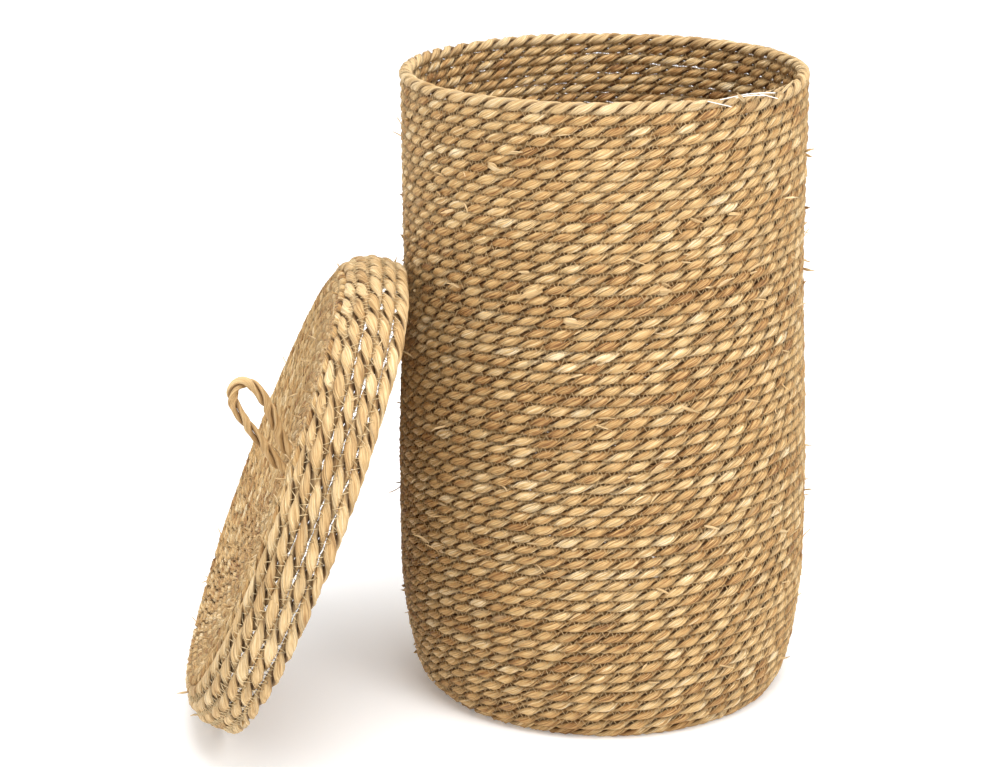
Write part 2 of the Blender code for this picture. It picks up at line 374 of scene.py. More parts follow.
@dataclass(frozen=True)
class StudioFinish:
    """The studio's plain matt floor, which glows a little so that shadows stay pale."""

    name: str = "studio_white"
    rgb: tuple = (0.92, 0.92, 0.92)
    glow: float = 0.18

    def build(self) -> bpy.types.Material:
        """Makes the material.

        Returns:
            The material.
        """
        s = Shader(self.name)
        s.principled.inputs["Base Color"].default_value = rgba(self.rgb)
        s.principled.inputs["Roughness"].default_value = 0.9
        s.principled.inputs["Specular IOR Level"].default_value = 0.1
        s.principled.inputs["Emission Color"].default_value = rgba(self.rgb)
        s.principled.inputs["Emission Strength"].default_value = self.glow
        return s.material


# --------------------------------------------------------------------------
# Piece making
# --------------------------------------------------------------------------


class Body(Enum):
    """The frame's rigid bodies."""

    BASKET = "basket"
    LID = "lid"
    HANDLE = "handle"


class Slot(Enum):
    """The record's material slots."""

    COIL = "leaf_coil"
    THICK = "leaf_thick_rope"
    BASE = "leaf_base"


@dataclass
class Stock:
    """Straight stock before it is laid along a path, with what its finish reads."""

    mesh: bpy.types.Mesh
    local: Array
    facts: dict = field(default_factory=dict)


def mesh_points(mesh: bpy.types.Mesh) -> Array:
    """Reads all vertex positions.

    Args:
        mesh: the mesh to read.

    Returns:
        An (n, 3) array.
    """
    flat = np.empty(len(mesh.vertices) * 3)
    mesh.vertices.foreach_get("co", flat)
    return flat.reshape(-1, 3)


def set_points(mesh: bpy.types.Mesh, points: Array) -> None:
    """Moves all vertices."""
    mesh.vertices.foreach_set("co", np.ascontiguousarray(points, dtype=np.float32).ravel())
    mesh.update()


def point_outward(mesh: bpy.types.Mesh) -> None:
    """Turns the faces of closed shells outwards, since bending stock along a path can mirror it.

    Args:
        mesh: the mesh to turn.
    """
    shape = bmesh.new()
    shape.from_mesh(mesh)
    bmesh.ops.recalc_face_normals(shape, faces=shape.faces)
    shape.to_mesh(mesh)
    shape.free()
    mesh.update()


def to_mesh(name: str, shape: bmesh.types.BMesh) -> bpy.types.Mesh:
    """Turns a shape into a mesh and frees it.

    Args:
        name: the mesh's name.
        shape: the finished shape.

    Returns:
        The mesh.
    """
    mesh = bpy.data.meshes.new(name)
    shape.to_mesh(mesh)
    shape.free()
    return mesh


def add_object(name: str, data: bpy.types.ID) -> bpy.types.Object:
    """Makes an object and links it into the scene.

    Args:
        name: the object's name.
        data: its mesh, light or camera.

    Returns:
        The object.
    """
    made = bpy.data.objects.new(name, data)
    bpy.context.scene.collection.objects.link(made)
    return made


def carry(matrix: Matrix, point: Array, outward: Array, upward: Array) -> PathPoint:
    """Moves points and their two directions into the world."""
    turn, shift = np.array(matrix.to_3x3()), np.array(matrix.translation)
    return point @ turn.T + shift, outward @ turn.T, upward @ turn.T


def set_fact(mesh: bpy.types.Mesh, name: str, values: Array) -> None:
    """Stores a number, or a vector, on every vertex.

    Args:
        mesh: the mesh that gets it.
        name: what the finish reads it by.
        values: one row for each vertex.
    """
    kind = "FLOAT_VECTOR" if values.ndim == 2 else "FLOAT"
    layer = mesh.attributes.new(name, kind, "POINT")
    key = "vector" if values.ndim == 2 else "value"
    layer.data.foreach_set(key, np.ascontiguousarray(values, dtype=np.float32).ravel())


def repeat_along(name: str, shape: bmesh.types.BMesh, count: int, spacing: float) -> bpy.types.Mesh:
    """Repeats a short open tube end to end along Z, welds the joints and closes the ends.

    Args:
        name: the new mesh's name.
        shape: the short tube, which is used up.
        count: how many copies.
        spacing: length of one copy.

    Returns:
        The long closed mesh.
    """
    unit_mesh = to_mesh(name + "_unit", shape)
    holder = add_object(name + "_unit", unit_mesh)
    array = holder.modifiers.new("repeat", "ARRAY")
    array.use_relative_offset = False
    array.use_constant_offset = True
    array.constant_offset_displace = (0.0, 0.0, spacing)
    array.count = count
    array.use_merge_vertices = True
    array.merge_threshold = spacing * 1e-3
    graph = bpy.context.evaluated_depsgraph_get()
    long_mesh = bpy.data.meshes.new_from_object(holder.evaluated_get(graph))
    bpy.data.objects.remove(holder)
    bpy.data.meshes.remove(unit_mesh)
    whole = bmesh.new()
    whole.from_mesh(long_mesh)
    bpy.data.meshes.remove(long_mesh)
    bmesh.ops.holes_fill(whole, edges=[edge for edge in whole.edges if edge.is_boundary], sides=0)
    bmesh.ops.recalc_face_normals(whole, faces=whole.faces)
    return to_mesh(name, whole)


def place_piece(
    name: str,
    mesh: bpy.types.Mesh,
    material: bpy.types.Material,
    body: Body,
    slot: Slot,
    nodes: Sequence[str] = (),
) -> None:
    """Links a finished mesh into the scene and lets it ride its body.

    Args:
        name: the piece's name.
        mesh: its mesh, already in place.
        material: its finish.
        body: the body it moves with.
        slot: the record's slot its finish belongs to; it is not used.
        nodes: the plain solids it stands for.
    """
    mesh.materials.clear()
    mesh.materials.append(material)
    mesh.shade_smooth()
    piece = add_object(name, mesh)
    if nodes:
        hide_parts(*nodes)
    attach(piece, body.value)
    LOG.info("%s: %d faces, rides %s", name, len(mesh.polygons), body.value)


# --------------------------------------------------------------------------
# Rope
# --------------------------------------------------------------------------


@dataclass(frozen=True)
class RopeSpec:
    """Two-ply rope.

    Attributes:
        radius: from the rope's centre to the crown of a fold.
        twist: length of one full turn of the plies.
        steps: mesh steps in one turn.
        sides: points round one ply.
        flat: how wide a ply is against the rope's radius.
        dwell: how long each ply stays outward before it crosses under, in radians.
        slip: how far the twist wanders from even along its length, in radians.
        seed: random sequence.
    """

    radius: float
    twist: float
    steps: int = 12
    sides: int = 8
    flat: float = 0.80
    dwell: float = 0.22
    slip: float = 1.3
    seed: int = 1


class Rope:
    """Cuts lengths of twisted rope and lays them along paths."""

    def __init__(self, spec: RopeSpec) -> None:
        """Keeps the rope's make."""
        self.spec = spec

    def _section(self, shape: bmesh.types.BMesh) -> list:
        """Draws both plies' outlines, each a flattened loop beside the centre.

        Args:
            shape: the shape to draw in.

        Returns:
            Their points and edges.
        """
        spec = self.spec
        made = []
        for side in (1.0, -1.0):
            points = []
            for index in range(spec.sides):
                angle = 2.0 * math.pi * (index + 0.5) / spec.sides + math.pi
                x = side * (0.5 * spec.radius + 0.5 * spec.radius * math.cos(angle))
                y = side * spec.flat * spec.radius * math.sin(angle)
                points.append(shape.verts.new((x, y, 0.0)))
            made += points
            made += [shape.edges.new((points[i - 1], points[i])) for i in range(spec.sides)]
        return made

    def cut(self, name: str, start: float, length: float) -> Stock:
        """Cuts a straight length of rope along Z.

        Args:
            name: the mesh's name.
            start: where along the whole rope this length begins.
            length: how long it is.

        Returns:
            The stock, with each vertex's (across, up, along) position and its facts.
        """
        spec = self.spec
        turns = max(1, round(length / spec.twist))
        shape = bmesh.new()
        geometry = self._section(shape)
        bmesh.ops.spin(
            shape,
            geom=geometry,
            cent=(0.0, 0.0, 0.0),
            axis=(0.0, 0.0, 1.0),
            dvec=(0.0, 0.0, spec.twist / spec.steps),
            angle=2.0 * math.pi,
            steps=spec.steps,
            use_duplicate=False,
        )
        mesh = repeat_along(name, shape, turns, spec.twist)
        return self._describe(mesh, start, length, turns)

    def _describe(self, mesh: bpy.types.Mesh, start: float, length: float, turns: int) -> Stock:
        """Works out each vertex's place in its ply.

        Args:
            mesh: straight rope along Z.
            start: where along the whole rope it begins.
            length: its length once laid.
            turns: whole turns of its plies.

        Returns:
            The stock.
        """
        spec = self.spec
        points = mesh_points(mesh)
        phase = 2.0 * math.pi * points[:, 2] / spec.twist
        along = points[:, 2] * length / (turns * spec.twist)
        across = points[:, 0] * np.cos(phase) + points[:, 1] * np.sin(phase)
        sideways = -points[:, 0] * np.sin(phase) + points[:, 1] * np.cos(phase)
        ply = np.where(across > 0.0, 0, 1)
        sign = np.where(ply == 0, 1.0, -1.0)
        out = across * sign - 0.5 * spec.radius
        wide = sideways * sign
        around = np.arctan2(wide / spec.flat, 2.0 * out)
        where = start + along
        slip = spec.slip * drift(where, 0.21, spec.seed + 14)
        slip += 0.30 * drift(where, spec.twist * 1.3, spec.seed + 6)
        phase = phase + slip
        turned = phase / (2.0 * math.pi) + round(start / spec.twist) + 0.5 * ply
        return self._roughen(mesh, phase, sign, ply, around, where, turned)

    def _roughen(
        self,
        mesh: bpy.types.Mesh,
        phase: Array,
        sign: Array,
        ply: Array,
        around: Array,
        where: Array,
        turned: Array,
    ) -> Stock:
        """Gives each fold its own size, creases and tone.

        Args:
            mesh: straight rope along Z.
            phase: twist angle at each vertex.
            sign: 1 on the first ply, -1 on the second.
            ply: 0 or 1.
            around: angle round the ply.
            where: distance along the whole rope.
            turned: turns of the twist so far.

        Returns:
            The stock.
        """
        spec = self.spec
        fold = np.floor(turned * 2.0 + 0.5).astype(np.int64) * 2 + ply
        own = scatter(fold, spec.seed + 12)
        facing = 0.5 + 0.5 * np.cos(2.0 * phase)
        swell = 1.0 + 0.10 * drift(where + 0.31 * ply, spec.twist * 0.5, spec.seed + 3)
        swell += 0.05 * drift(where + 0.57 * ply, spec.twist * 2.3, spec.seed + 4)
        swell += (0.02 + 0.12 * own) * (facing - 0.5)
        crease = np.cos(3.0 * around + 5.0 * drift(where + 0.2 * ply, spec.twist * 1.1, spec.seed + 5))
        crease *= 0.065
        out = 0.5 * spec.radius * np.cos(around) * (swell + crease)
        wide = spec.flat * spec.radius * np.sin(around) * (swell + crease)
        lean = -spec.dwell * np.sin(2.0 * phase)
        across = sign * (0.5 * spec.radius + out)
        sideways = sign * wide
        angle = phase + lean
        local = np.stack(
            [
                across * np.cos(angle) - sideways * np.sin(angle),
                across * np.sin(angle) + sideways * np.cos(angle),
                where,
            ],
            axis=1,
        )
        tilt = 2.0 * math.pi * spec.radius / spec.twist
        travel = where * math.sqrt(1.0 + 0.4 * tilt * tilt)
        fibre = np.stack([travel, around * spec.radius * 0.75, ply * 3.1 + spec.seed], axis=1)
        leaf = 0.5 + 0.5 * scatter(fold, spec.seed + 8)
        shade = 0.5 + 0.5 * drift(where + 5.0 * ply, 0.11, spec.seed + 9)
        # Painted shade: how near each point lies to the rope's centre, which the finish darkens as shade in
        # the grooves between the plies.
        painted_groove_shade = 1.0 - np.clip(np.hypot(local[:, 0], local[:, 1]) / spec.radius, 0.0, 1.0)
        facts = {"fibre": fibre, "leaf": leaf, "shade": shade, "painted_groove_shade": np.clip(painted_groove_shade * 2.6, 0.0, 1.0)}
        return Stock(mesh, local, facts)


def lay(
    stock: Stock,
    path: Callable[[Array], PathPoint],
    size: "Callable[[Array], Array] | None" = None,
) -> bpy.types.Mesh:
    """Bends straight stock along a path.

    Args:
        stock: the straight stock. Its local axes are outward, up the wall, and along.
        path: gives (point, outward, up) for distances along it.
        size: optional scale of the section at a distance.

    Returns:
        The bent mesh with its facts stored on it.
    """
    point, outward, upward = path(stock.local[:, 2])
    scale = np.ones(len(point)) if size is None else size(stock.local[:, 2])
    a = (stock.local[:, 0] * scale)[:, None]
    b = (stock.local[:, 1] * scale)[:, None]
    set_points(stock.mesh, point + a * outward + b * upward)
    point_outward(stock.mesh)
    for name, values in stock.facts.items():
        set_fact(stock.mesh, name, values)
    return stock.mesh


# --------------------------------------------------------------------------
# Coil paths
# --------------------------------------------------------------------------


class Coil:
    """A rope's path round an axis, following a profile of (radius, height)."""

    def __init__(
        self,
        radius: Callable[[Array], Array],
        height: Callable[[Array], Array],
        turns: tuple[float, float],
        start_angle: float,
        frame_matrix: "Matrix | None" = None,
        wobble: float = 0.0004,
        seed: int = 1,
    ) -> None:
        """Samples the path.

        Args:
            radius: centre radius against turns.
            height: centre height against turns.
            turns: first and last turn.
            start_angle: angle of turn zero.
            frame_matrix: where the coil's own frame lies.
            wobble: how far rows wander.
            seed: random sequence.
        """
        self.turn = np.linspace(turns[0], turns[1], int(240 * (turns[1] - turns[0])) + 2)
        self.matrix = frame_matrix
        self.wobble, self.seed = wobble, seed
        self.start_angle = start_angle
        self.radius, self.height = radius, height
        rr, zz = radius(self.turn), height(self.turn)
        angle = 2.0 * math.pi * self.turn
        step = np.diff(np.stack([rr * np.cos(angle), rr * np.sin(angle), zz], axis=1), axis=0)
        self.distance = np.concatenate([[0.0], np.cumsum(np.linalg.norm(step, axis=1))])

    @property
    def length(self) -> float:
        """The whole path's length."""
        return float(self.distance[-1])

    def turns_at(self, distance: Array) -> Array:
        """Turns for distances along the path."""
        return np.interp(distance, self.distance, self.turn)

    def distance_at(self, turn: float) -> float:
        """Distance along the path at a turn."""
        return float(np.interp(turn, self.turn, self.distance))

    def at(self, distance: Array) -> PathPoint:
        """The path's point, outward direction and up-the-wall direction."""
        return self.frame_at(self.turns_at(distance))

    def frame_at(self, turn: Array) -> PathPoint:
        """As at(), against turns.

        Args:
            turn: turns along the coil.

        Returns:
            Points, outward directions and up-the-wall directions.
        """
        angle = 2.0 * math.pi * turn + self.start_angle
        rr, zz = self.radius(turn), self.height(turn)
        dr = self.radius(turn + 0.5) - self.radius(turn - 0.5)
        dz = self.height(turn + 0.5) - self.height(turn - 0.5)
        size = np.maximum(np.hypot(dr, dz), 1e-9)
        radial = np.stack([np.cos(angle), np.sin(angle), np.zeros_like(angle)], axis=1)
        axis = np.array([0.0, 0.0, 1.0])
        upward = radial * (dr / size)[:, None] + axis * (dz / size)[:, None]
        outward = radial * (dz / size)[:, None] - axis * (dr / size)[:, None]
        rr = rr + self.wobble * drift(turn * 1.1, 0.09, self.seed)
        point = radial * rr[:, None] + axis * zz[:, None]
        point = point + upward * (self.wobble * drift(turn * 1.3, 0.05, self.seed + 1))[:, None]
        if self.matrix is None:
            return point, outward, upward
        return carry(self.matrix, point, outward, upward)


# --------------------------------------------------------------------------
# Stitching
# --------------------------------------------------------------------------


@dataclass(frozen=True)
class StitchSpec:
    """The zigzag thread between two rows.

    Attributes:
        radius: the thread's radius.
        pitch: length of one V.
        reach: how far it runs up and down from the groove.
        lift: height over the rope's centre at its points.
        sag: how far it dips into the groove.
        seed: random sequence.
    """

    radius: float = 0.00036
    pitch: float = 0.0068
    reach: float = 0.0036
    lift: float = 0.0048
    sag: float = 0.0009
    seed: int = 5


class Stitching:
    """Sews rows together."""

    def __init__(self, spec: StitchSpec) -> None:
        """Keeps the thread's make."""
        self.spec = spec

    def sew(self, name: str, coil: Coil, turns: tuple[float, float], side: float = 1.0) -> bpy.types.Mesh:
        """Makes the thread over the groove above each row.

        Args:
            name: the mesh's name.
            coil: the rope's path.
            turns: first and last turn sewn to the row above.
            side: 1 on the outside, -1 on the inside.

        Returns:
            The thread's mesh, in place.
        """
        spec = self.spec
        first, last = coil.distance_at(turns[0]), coil.distance_at(turns[1])
        stitches = max(2, round((last - first) / spec.pitch))
        count = 4 * stitches
        shape = bmesh.new()
        ring = bmesh.ops.create_circle(shape, segments=3, radius=1.0)["verts"]
        bmesh.ops.spin(
            shape,
            geom=ring + list(shape.edges),
            cent=(0.0, 0.0, 0.0),
            axis=(0.0, 0.0, 1.0),
            dvec=(0.0, 0.0, 1.0),
            angle=0.0,
            steps=4,
            use_duplicate=False,
        )
        mesh = repeat_along(name, shape, stitches, 4.0)
        points = mesh_points(mesh)
        number = points[:, 2]

        def line(at: Array) -> Array:
            """Points of the thread's centre line."""
            return self._point(coil, at, (first, last, count), side)

        centre, tangent = line(number), unit(line(number + 0.25) - line(number - 0.25))
        helper = unit(np.cross(tangent, np.array([0.13, 0.27, 0.95])))
        other = np.cross(tangent, helper)
        ring_point = helper * points[:, :1] + other * points[:, 1:2]
        set_points(mesh, centre + spec.radius * ring_point)
        around = np.arctan2(points[:, 1], points[:, 0]) * 0.0003
        fibre = np.stack([number * 0.0017, around, np.zeros_like(number)], axis=1)
        set_fact(mesh, "fibre", fibre)
        set_fact(mesh, "leaf", 0.5 + 0.5 * drift(number, 9.0, spec.seed))
        return mesh

    def _point(self, coil: Coil, number: Array, run: tuple[float, float, int], side: float) -> Array:
        """Points of the zigzag.

        Args:
            coil: the rope's path.
            number: step numbers, four to a stitch.
            run: distances of the first and last stitch, and the number of steps between them.
            side: 1 on the outside, -1 on the inside.

        Returns:
            A point for each step number.
        """
        spec = self.spec
        first, last, count = run
        distance = first + (last - first) * number / count
        wave = np.abs(((number / 4.0) % 1.0) * 2.0 - 1.0) * 2.0 - 1.0
        cell = np.floor(number / 4.0).astype(np.int64)
        reach = spec.reach * (1.0 + 0.22 * scatter(cell, spec.seed + 2))
        jitter = spec.pitch * 0.16 * drift(number, 3.0, spec.seed + 3)
        turn = coil.turns_at(np.clip(distance + jitter, 0.0, coil.length))
        low, out_low, _ = coil.frame_at(turn)
        high, out_high, _ = coil.frame_at(turn + 1.0)
        middle = 0.5 * (low + high)
        upward = unit(high - low)
        outward = unit(out_low + out_high) * side
        height = spec.lift - spec.sag * (1.0 - np.abs(wave) ** 1.5)
        dive = np.clip(np.abs(wave) - 0.86, 0.0, 1.0) * 0.0075
        return middle + upward * (wave * reach)[:, None] + outward * (height - dive)[:, None]


# --------------------------------------------------------------------------
# Loose leaf ends
# --------------------------------------------------------------------------


@dataclass(frozen=True)
class LeafEnd:
    """A flat torn end of leaf that stands out of a splice.

    Attributes:
        length: from root to tip.
        width: at its widest.
        curl: how far it bends away over its length.
        twist: turn along its length.
        seed: random sequence.
        section: the leaf's outline across, as (share of half width, lift).
    """

    length: float = 0.016
    width: float = 0.0042
    curl: float = 0.9
    twist: float = 0.5
    seed: int = 1
    section: ClassVar[tuple] = ((-1.0, 1.0), (0.0, 1.6), (1.0, 1.0), (1.0, -1.0), (0.0, -0.4), (-1.0, -1.0))

    def add(
        self,
        shape: bmesh.types.BMesh,
        root: Vector,
        along: Vector,
        outward: Vector,
        facts: list,
    ) -> None:
        """Adds the leaf end to a mesh.

        Args:
            shape: the mesh to add to.
            root: where it leaves the rope.
            along: the way it lies.
            outward: away from the wall.
            facts: gets (fibre, seed) for each new vertex.
        """
        steps = 7
        along = along.normalized()
        outward = (outward - along * outward.dot(along)).normalized()
        across = along.cross(outward)
        rows = []
        position, heading = root.copy(), along.copy()
        for step in range(steps + 1):
            share = step / steps
            width = self.width * (0.55 + 0.75 * math.sin(math.pi * min(1.0, share * 0.9 + 0.12))) * 0.5
            width *= 1.0 if share < 0.70 else 0.60 if share < 0.90 else 0.22
            roll = self.twist * share
            side = across * math.cos(roll) + outward * math.sin(roll)
            up = heading.cross(side).normalized() * 0.0003
            cup = outward * (0.0006 * math.sin(math.pi * share))
            row = []
            for reach, lift in self.section:
                offset = width * reach
                row.append(shape.verts.new(position + side * offset + up * lift + cup))
                fibre = (share * self.length + self.seed * 0.7, offset, float(self.seed))
                facts.append((fibre, self.seed))
            rows.append(row)
            bend = self.curl / steps
            heading = (heading * math.cos(bend) + outward * math.sin(bend)).normalized()
            position = position + heading * (self.length / steps)
        for low, high in zip(rows, rows[1:]):
            for k in range(6):
                shape.faces.new((low[k - 1], low[k], high[k], high[k - 1]))
        shape.faces.new(rows[0])
        shape.faces.new(rows[-1])


def leaf_piece(name: str, ends: Iterable[tuple[LeafEnd, Vector, Vector, Vector]]) -> bpy.types.Mesh:
    """Builds several leaf ends as one mesh.

    Args:
        name: the mesh's name.
        ends: each (leaf end, root, along, outward).

    Returns:
        The mesh with its facts stored.
    """
    shape = bmesh.new()
    facts: list = []
    for leaf, root, along, outward in ends:
        leaf.add(shape, root, along, outward, facts)
    bmesh.ops.recalc_face_normals(shape, faces=shape.faces)
    mesh = to_mesh(name, shape)
    seeds = np.array([fact[1] for fact in facts])
    set_fact(mesh, "fibre", np.array([fact[0] for fact in facts]))
    set_fact(mesh, "leaf", 0.62 + 0.36 * scatter(seeds, 11))
    set_fact(mesh, "shade", 0.72 + 0.2 * scatter(seeds, 12))
    # The flat leaf ends get no painted groove shade.
    set_fact(mesh, "painted_groove_shade", np.zeros(len(facts)))
    return mesh


# --------------------------------------------------------------------------
# The basket
# --------------------------------------------------------------------------


@dataclass
class Basket:
    """The basket's body: base coil, wall, rim, stitching and loose ends.

    Attributes:
        top: height of the rim's crown.
        rows: turns of the coil up to its last row.
        row_low: rise of one row at the foot.
        row_high: rise of one row at the rim.
        row_radius: half a row's plain thickness.
        first_row: height of the lowest row's centre.
        foot_radius: outer radius at the floor.
        belly_radius: outer radius at the widest.
        belly_from: height where the wall reaches its widest.
        belly_to: height where the wall starts to draw in.
        shoulder: height where the wall has drawn in.
        rim_radius: outer radius at the rim.
        heel: how far the lowest rows turn in under the wall.
        heel_from: height that the heel is counted from.
        heel_over: height over which the heel fades.
        lengths: spliced lengths of rope in the wall.
        twist: length of one full turn of the rope's plies.
        start_angle: where round the basket the coil starts.
        level_from: rows below the rim at which the rows begin to level.
        level_over: rows within which they come level.
        step_end: part of a turn past the start where a level row ends.
        step_share: part of a turn in which a level row steps up to the next.
        tip: part of a turn that the rim's rope runs on beyond its row.
        rim_length: length of the thicker rope at the rim.
        taper: length over which the rim's rope thins out.
        thinning: how much of its thickness it loses.
        base_row: distance between the base's rows.
        base_height: height of the base rope's centre.
        base_radius: the base rope's radius.
        base_inner: share of the base's rope in its inner length.
        unsewn: rows at the rim left without stitching.
        torn: loose ends at set places, as (degrees, height, length, width, curl).
        random_torn: lowest and highest of the same for ends at random places.
        slack: strands of slack thread, as (first and last degrees, arch).
    """

    top: float = 0.5562
    rows: int = 58
    row_low: float = 0.00965
    row_high: float = 0.00910
    row_radius: float = 0.00475
    first_row: float = 0.0052
    foot_radius: float = 0.1655
    belly_radius: float = 0.182
    belly_from: float = 0.120
    belly_to: float = 0.190
    shoulder: float = 0.400
    rim_radius: float = 0.175
    heel: float = 0.0055
    heel_from: float = 0.0047
    heel_over: float = 0.0065
    lengths: int = 10
    twist: float = 0.0400
    start_angle: float = math.radians(-52.0)
    level_from: float = 16.0
    level_over: float = 13.0
    step_end: float = 56.0 / 360.0
    step_share: float = 0.20
    tip: float = 24.0 / 360.0
    rim_length: float = 1.14
    taper: float = 0.16
    thinning: float = 0.70
    base_row: float = 0.0093
    base_height: float = 0.0053
    base_radius: float = 0.0051
    base_inner: float = 0.32
    unsewn: float = 1.02
    torn: ClassVar[tuple] = (
        (-109.0, 0.402, 0.022, 0.0058, 0.30),
        (-78.0, 0.400, 0.014, 0.0050, 1.00),
        (-103.0, 0.377, 0.018, 0.0052, 0.45),
        (-75.0, 0.253, 0.020, 0.0056, 0.60),
        (-58.5, 0.443, 0.013, 0.0040, 0.80),
        (-125.0, 0.501, 0.016, 0.0048, 0.35),
    )
    random_torn: ClassVar[tuple] = (
        (0.0, 360.0),
        (0.02, 0.54),
        (0.005, 0.018),
        (0.0005, 0.0022),
        (0.3, 1.5),
    )
    slack: ClassVar[tuple] = (
        (-60.0, -40.0, 0.0024),
        (-64.0, -57.0, -0.0045),
        (-46.0, -39.0, -0.0050),
        (-55.0, -45.0, 0.0012),
    )

    def outer(self, height: Array) -> Array:
        """The wall's outer radius.

        Args:
            height: heights over the floor.

        Returns:
            A radius for each height.
        """
        rise = np.sin(0.5 * np.pi * np.clip(height / self.belly_from, 0.0, 1.0))
        low = self.foot_radius + (self.belly_radius - self.foot_radius) * rise
        share = smooth_step((height - self.belly_to) / (self.shoulder - self.belly_to))
        high = self.belly_radius + (self.rim_radius - self.belly_radius) * share
        return np.where(height < self.belly_from, low, high)

    def row_height(self, turn: Array) -> Array:
        """The rope's centre height, its rows levelled towards the rim.

        Args:
            turn: turns along the coil.

        Returns:
            A height for each turn.
        """
        past = turn - self.step_end
        share = past - np.floor(past)
        level = smooth_step((share - 1.0 + self.step_share) / self.step_share)
        near_rim = smooth_step((turn - self.rows + self.level_from) / self.level_over)
        turn = turn + near_rim * (level - share)
        return self.first_row + self.pull * self._climb(turn)

    def _climb(self, turn: Array) -> Array:
        """Height climbed in so many turns: rows lie a little closer towards the rim."""
        change = self.row_high - self.row_low
        return self.row_low * turn + 0.5 * change * turn * np.clip(turn / self.rows, 0.0, 1.2)

    @property
    def pull(self) -> float:
        """How far the rows are drawn together so that the rim comes out at its height."""
        level = float(self._climb(np.array([self.rows + self.step_end]))[0])
        return (self.top - self.row_radius - self.first_row) / level

    def row_centre(self, turn: Array) -> Array:
        """The rope's centre radius.

        Args:
            turn: turns along the coil.

        Returns:
            A radius for each turn.
        """
        height = self.row_height(turn)
        over = np.maximum(height - self.heel_from, -0.002)
        return self.outer(height) - self.row_radius - self.heel * np.exp(-over / self.heel_over)

    def build(self, finish: "Finishes") -> None:
        """Builds every piece of the basket.

        Args:
            finish: every finish.
        """
        self.turns = self.rows + 1.0 + self.tip
        self.coil = Coil(self.row_centre, self.row_height, (0.0, self.turns), self.start_angle, seed=3)
        self._wall(finish)
        self._base(finish)
        self._stitch(finish)
        self._ends(finish)

    def _wall(self, finish: "Finishes") -> None:
        """Lays the wall's rope in its lengths, then the thicker rope of the rim.

        Args:
            finish: every finish.
        """
        rope = Rope(RopeSpec(radius=self.row_radius + 0.0003, twist=self.twist, flat=0.81, seed=21))
        edges = np.linspace(0.0, self.coil.length - self.rim_length, self.lengths + 1)
        for index, (first, last) in enumerate(zip(edges, edges[1:])):
            name = f"wall_rope_{index + 1:02d}"
            stock = rope.cut(name, float(first), float(last - first))
            mesh = lay(stock, self.coil.at)
            place_piece(name + "_woven", mesh, finish.coil, Body.BASKET, Slot.COIL, [name])
        rim = Rope(RopeSpec(radius=self.row_radius + 0.0006, twist=0.038, seed=33, steps=16))
        first = float(edges[-1])
        stock = rim.cut("rim_rope", first, self.coil.length - first)
        mesh = lay(stock, self._rim_path, self._rim_size)
        plain = ["rim_rope", "rim_rope_end"]
        place_piece("rim_rope_woven", mesh, finish.thick, Body.BASKET, Slot.THICK, plain)

    def _tapered(self, distance: Array) -> Array:
        """How far the rim's rope has tapered, 0 to 1."""
        return smooth_step((distance - self.coil.length + self.taper) / self.taper)

    def _rim_size(self, distance: Array) -> Array:
        """Thickness of the rim's rope against its whole thickness."""
        return 1.0 - self.thinning * self._tapered(distance)

    def _rim_path(self, distance: Array) -> PathPoint:
        """The last turn, which sinks onto the row below as its end thins.

        Args:
            distance: distances along the wall coil.

        Returns:
            Points, outward directions and upward directions.
        """
        point, outward, upward = self.coil.at(distance)
        sink = self._tapered(distance) * self.row_radius * self.thinning
        return point - upward * sink[:, None], outward, upward

    def _base(self, finish: "Finishes") -> None:
        """Winds the base.

        Args:
            finish: every finish.
        """
        outside = float(self.row_centre(np.array([0.0]))[0])
        turns = outside / self.base_row

        def radius(turn: Array) -> Array:
            """Centre radius of the base's rows."""
            return np.maximum(outside + self.base_row * turn, 0.0)

        def height(turn: Array) -> Array:
            """Centre height, the same everywhere."""
            return np.full_like(turn, self.base_height)

        coil = Coil(radius, height, (-turns + 0.15, 0.0), self.start_angle, wobble=0.0002, seed=7)
        rope = Rope(RopeSpec(self.base_radius, self.twist, flat=0.92, dwell=0.0, seed=44))
        total = coil.length
        share = total * self.base_inner
        for name, first, last in (("base_rope_inner", 0.0, share), ("base_rope_outer", share, total)):
            stock = rope.cut(name, first, last - first)
            mesh = lay(stock, coil.at)
            place_piece(name + "_woven", mesh, finish.base, Body.BASKET, Slot.BASE, [name])

    def _stitch(self, finish: "Finishes") -> None:
        """Sews the wall's rows, outside all the way up and inside where it can be seen.

        Args:
            finish: every finish.
        """
        sewn = self.turns - self.unsewn
        edges = np.linspace(0.0, sewn, 5)
        outside = Stitching(StitchSpec(seed=5))
        inside = Stitching(StitchSpec(seed=6, pitch=0.0082))
        for index, (first, last) in enumerate(zip(edges, edges[1:])):
            name = f"wall_stitching_{index + 1}"
            mesh = outside.sew(name, self.coil, (float(first), float(last)))
            place_piece(name, mesh, finish.thread, Body.BASKET, Slot.COIL)
        mesh = inside.sew("wall_stitching_inside", self.coil, (self.turns * 0.55, sewn), -1.0)
        place_piece("wall_stitching_inside", mesh, finish.thread, Body.BASKET, Slot.COIL)

